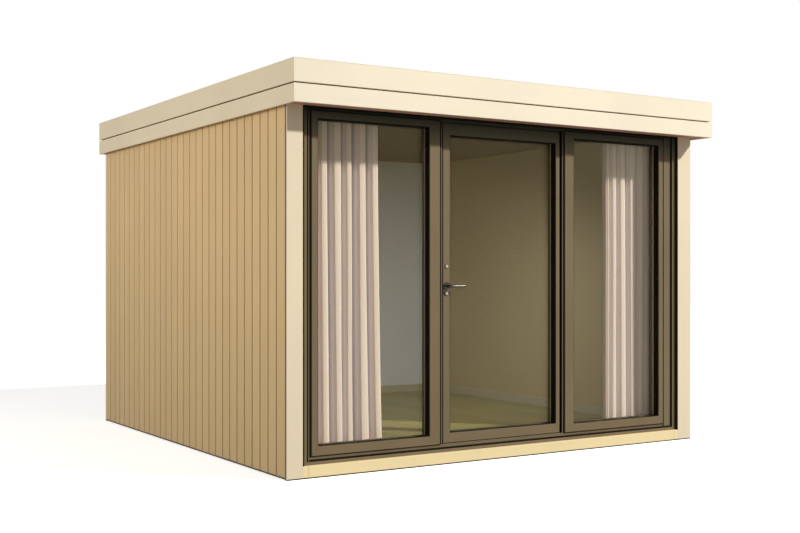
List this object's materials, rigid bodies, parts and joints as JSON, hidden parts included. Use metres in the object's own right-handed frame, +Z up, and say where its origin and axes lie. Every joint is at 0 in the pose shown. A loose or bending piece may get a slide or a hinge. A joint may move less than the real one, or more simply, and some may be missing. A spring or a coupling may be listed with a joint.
{
  "type": "garden office pod",
  "caption": "Flat-roofed timber garden room with boarded walls, a deep two-tier fascia and a fully glazed front with a hinged door between fixed side lights.",
  "frame": {"origin": "middle of the roof's footprint, at ground level", "axes": "+X along the glazed front, +Y from the glazed front to the back, +Z up"},
  "size_m": [3.452, 3.596, 2.5],
  "materials": {
    "cladding_paint": "sand-coloured paint on vertical boards, low sheen",
    "trim_paint": "cream paint on planed timber, low sheen",
    "soffit_timber": "stained timber, matt",
    "roof_rubber": "black rubber sheet, matt",
    "insulated_panel": "strand board faces, matt",
    "wall_lining": "plain painted lining, matt",
    "ceiling_lining": "dark stained boards, matt",
    "floor_finish": "plank floor, satin",
    "skirting_paint": "painted skirting, low sheen",
    "bronze_metal": "bronze powder coat, satin",
    "seal_rubber": "black rubber, matt",
    "glazing": "clear sealed glass units",
    "satin_metal": "satin metal",
    "track_white": "white coated rail",
    "curtain_fabric": "plain woven cloth, soft folds"
  },
  "bodies": {
    "shell": {"side_cladding": "cladding_paint", "rear_cladding": "cladding_paint", "front_corner_boards": "trim_paint", "rear_corner_boards": "trim_paint", "front_sill": "trim_paint", "front_fascia": "trim_paint", "left_fascia": "trim_paint", "right_fascia": "trim_paint", "rear_fascia": "trim_paint", "front_soffit": "soffit_timber", "roof_battens": "soffit_timber", "front_posts": "soffit_timber", "front_lintel": "soffit_timber", "roof_membrane": "roof_rubber", "roof_panel": "insulated_panel", "floor_panel": "insulated_panel", "left_wall": "wall_lining", "right_wall": "wall_lining", "rear_wall": "wall_lining", "ceiling": "ceiling_lining", "floor_covering": "floor_finish", "skirting": "skirting_paint", "roof_trim": "bronze_metal", "frame_cover_strip": "bronze_metal", "frame_left_jamb": "bronze_metal", "frame_right_jamb": "bronze_metal", "frame_head": "bronze_metal", "frame_threshold": "bronze_metal", "mullions": "bronze_metal", "left_light_frame": "bronze_metal", "right_light_frame": "bronze_metal", "side_light_beads": "bronze_metal", "side_light_gasket": "seal_rubber", "side_light_glass": "glazing", "frame_hinges": "satin_metal", "curtain_track": "track_white", "left_curtain": "curtain_fabric", "right_curtain": "curtain_fabric"},
    "door": {"door_frame": "bronze_metal", "door_glass": "glazing", "door_gasket": "seal_rubber", "door_beads": "bronze_metal", "door_hinges": "satin_metal", "door_furniture": "satin_metal"},
    "lever": {"door_lever": "satin_metal"}
  },
  "joints": [
    {"name": "door_hinge", "type": "hinge", "parent": "shell", "child": "door", "pos_m": [0.488, -1.478, 1.18], "axis": [0, 0, -1], "range_deg": [0, 90]},
    {"name": "lever_turn", "type": "hinge", "parent": "door", "child": "lever", "pos_m": [-0.498, -1.575, 1.155], "axis": [0, 1, 0], "range_deg": [0, 40], "stiffness_Nm_per_rad": 1, "springref_deg": -34.38}
  ]
}
